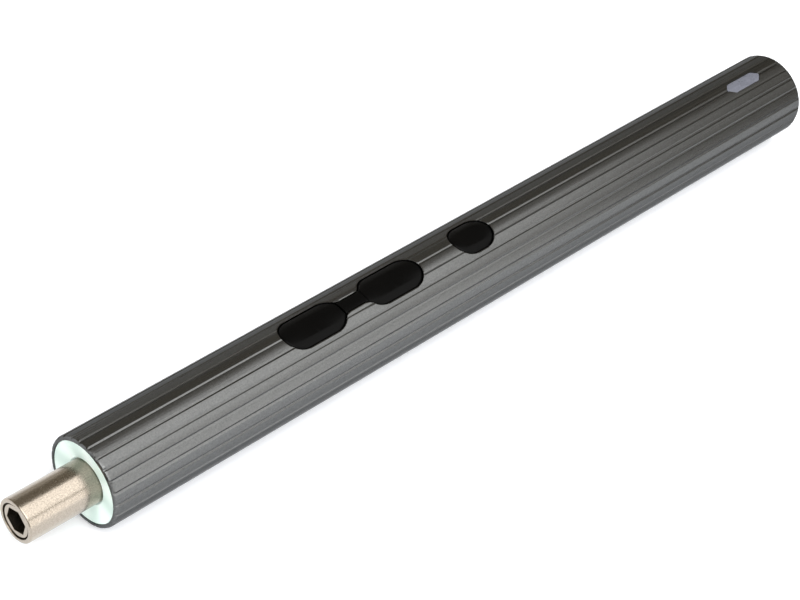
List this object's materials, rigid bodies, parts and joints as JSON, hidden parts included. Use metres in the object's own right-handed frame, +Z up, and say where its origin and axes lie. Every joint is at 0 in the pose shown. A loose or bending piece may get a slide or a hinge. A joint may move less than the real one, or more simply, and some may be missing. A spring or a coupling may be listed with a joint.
{
  "type": "cordless screwdriver",
  "caption": "Slim pen-shaped cordless screwdriver with a fluted metal body, hex bit chuck, lit nose ring and press keys along the top.",
  "frame": {"origin": "on the table, below the middle of the tool's overall length", "axes": "+X along the tool's axis from chuck to tail, +Z up through the keys, +Y to the side"},
  "size_m": [0.1844, 0.016, 0.016],
  "materials": {
    "gunmetal_anodised": "satin anodised",
    "clear_lens": "smoky translucent",
    "milky_diffuser": "milky translucent, lit",
    "white_board": "solder mask",
    "led_white": "phosphor",
    "zinc_casting": "as cast",
    "steel": "ground",
    "bronze": "sintered",
    "nickel_plate": "bright plate",
    "black_nylon": "moulded",
    "brass_strip": "rolled",
    "green_board": "solder mask",
    "black_chip": "moulded epoxy",
    "black_keys": "satin moulded",
    "amber_flex": "polyimide film",
    "cell_wrap": "shrink wrap over the can",
    "nickel_chuck": "satin nickel plate",
    "switch_button": "moulded",
    "sintered_gear": "sintered"
  },
  "bodies": {
    "housing": {"body_tube": "gunmetal_anodised", "indicator_lens": "clear_lens", "nose_diffuser": "milky_diffuser", "nose_light_board": "white_board", "nose_leds": "led_white", "gearbox_ring_gear": "zinc_casting", "gearbox_front_plate": "zinc_casting", "spindle_bushing": "bronze", "motor_can": "nickel_plate", "motor_end_bell": "black_nylon", "motor_terminals": "brass_strip", "motor_frame": "black_nylon", "battery_tray": "black_nylon", "charge_frame": "black_nylon", "main_board": "green_board", "main_board_parts": "black_chip", "switch_bodies": "black_chip", "key_waist": "black_keys", "nose_flex": "amber_flex", "power_flex": "amber_flex", "battery_cell": "cell_wrap", "battery_tabs": "nickel_plate", "charge_board": "green_board", "charge_board_parts": "black_chip", "indicator_led": "led_white", "tail_cap": "black_keys", "usb_socket_shell": "nickel_plate", "usb_contact_tongue": "black_chip"},
    "spindle": {"output_carrier": "steel", "hex_insert": "nickel_chuck", "bit_magnet": "nickel_plate", "chuck_sleeve": "nickel_chuck"},
    "carrier_1": {"carrier_1": "steel"},
    "rotor": {"motor_shaft": "steel", "motor_pinion": "brass_strip"},
    "key_forward": {"key_forward": "black_keys"},
    "key_reverse": {"key_reverse": "black_keys"},
    "key_mode": {"key_mode": "black_keys"},
    "plunger_forward": {"switch_plunger_forward": "switch_button"},
    "plunger_reverse": {"switch_plunger_reverse": "switch_button"},
    "plunger_mode": {"switch_plunger_mode": "switch_button"},
    "planet_1a": {"planet_1a": "sintered_gear"},
    "planet_1b": {"planet_1b": "sintered_gear"},
    "planet_1c": {"planet_1c": "sintered_gear"},
    "planet_2a": {"planet_2a": "sintered_gear"},
    "planet_2b": {"planet_2b": "sintered_gear"},
    "planet_2c": {"planet_2c": "sintered_gear"}
  },
  "joints": [
    {"name": "spindle_spin", "type": "hinge", "parent": "housing", "child": "spindle", "pos_m": [-0.0793, 0, 0.00799], "axis": [1, 0, 0], "continuous": true},
    {"name": "carrier_1_spin", "type": "hinge", "parent": "housing", "child": "carrier_1", "pos_m": [-0.0649, 0, 0.00799], "axis": [1, 0, 0], "continuous": true},
    {"name": "rotor_spin", "type": "hinge", "parent": "housing", "child": "rotor", "pos_m": [-0.0608, 0, 0.00799], "axis": [1, 0, 0], "continuous": true},
    {"name": "planet_1a_spin", "type": "hinge", "parent": "carrier_1", "child": "planet_1a", "pos_m": [-0.0623, 0, 0.01062], "axis": [1, 0, 0], "continuous": true},
    {"name": "planet_1b_spin", "type": "hinge", "parent": "carrier_1", "child": "planet_1b", "pos_m": [-0.0623, -0.00227, 0.00668], "axis": [1, 0, 0], "continuous": true},
    {"name": "planet_1c_spin", "type": "hinge", "parent": "carrier_1", "child": "planet_1c", "pos_m": [-0.0623, 0.00227, 0.00668], "axis": [1, 0, 0], "continuous": true},
    {"name": "planet_2a_spin", "type": "hinge", "parent": "spindle", "child": "planet_2a", "pos_m": [-0.0664, 0, 0.01062], "axis": [1, 0, 0], "continuous": true},
    {"name": "planet_2b_spin", "type": "hinge", "parent": "spindle", "child": "planet_2b", "pos_m": [-0.0664, -0.00227, 0.00668], "axis": [1, 0, 0], "continuous": true},
    {"name": "planet_2c_spin", "type": "hinge", "parent": "spindle", "child": "planet_2c", "pos_m": [-0.0664, 0.00227, 0.00668], "axis": [1, 0, 0], "continuous": true},
    {"name": "plunger_forward_slide", "type": "slide", "parent": "housing", "child": "plunger_forward", "axis": [0, 0, -1], "range_m": [0, 0.0002199], "stiffness_N_per_m": 2000},
    {"name": "plunger_reverse_slide", "type": "slide", "parent": "housing", "child": "plunger_reverse", "axis": [0, 0, -1], "range_m": [0, 0.0002199], "stiffness_N_per_m": 2000},
    {"name": "plunger_mode_slide", "type": "slide", "parent": "housing", "child": "plunger_mode", "axis": [0, 0, -1], "range_m": [0, 0.0003], "stiffness_N_per_m": 2000},
    {"name": "forward_key_tilt", "type": "hinge", "parent": "housing", "child": "key_forward", "pos_m": [-0.02645, 0, 0.01324], "axis": [0, -1, 0], "range_deg": [0, 2]},
    {"name": "reverse_key_tilt", "type": "hinge", "parent": "housing", "child": "key_reverse", "pos_m": [-0.02115, 0, 0.01324], "axis": [0, 1, 0], "range_deg": [0, 2]},
    {"name": "mode_key_press", "type": "slide", "parent": "housing", "child": "key_mode", "axis": [0, 0, -1], "range_m": [0, 0.0003]}
  ],
  "couplings": [
    {"joint": "carrier_1_spin", "follows": "spindle_spin", "ratio": 4.6667},
    {"joint": "rotor_spin", "follows": "spindle_spin", "ratio": 21.778},
    {"joint": "planet_1a_spin", "follows": "spindle_spin", "ratio": -12.833},
    {"joint": "planet_1b_spin", "follows": "spindle_spin", "ratio": -12.833},
    {"joint": "planet_1c_spin", "follows": "spindle_spin", "ratio": -12.833},
    {"joint": "planet_2a_spin", "follows": "spindle_spin", "ratio": -2.75},
    {"joint": "planet_2b_spin", "follows": "spindle_spin", "ratio": -2.75},
    {"joint": "planet_2c_spin", "follows": "spindle_spin", "ratio": -2.75},
    {"joint": "forward_key_tilt", "follows": "plunger_forward_slide", "rad_per_m": 158.73},
    {"joint": "reverse_key_tilt", "follows": "plunger_reverse_slide", "rad_per_m": 158.73},
    {"joint": "mode_key_press", "follows": "plunger_mode_slide", "ratio": 1}
  ]
}
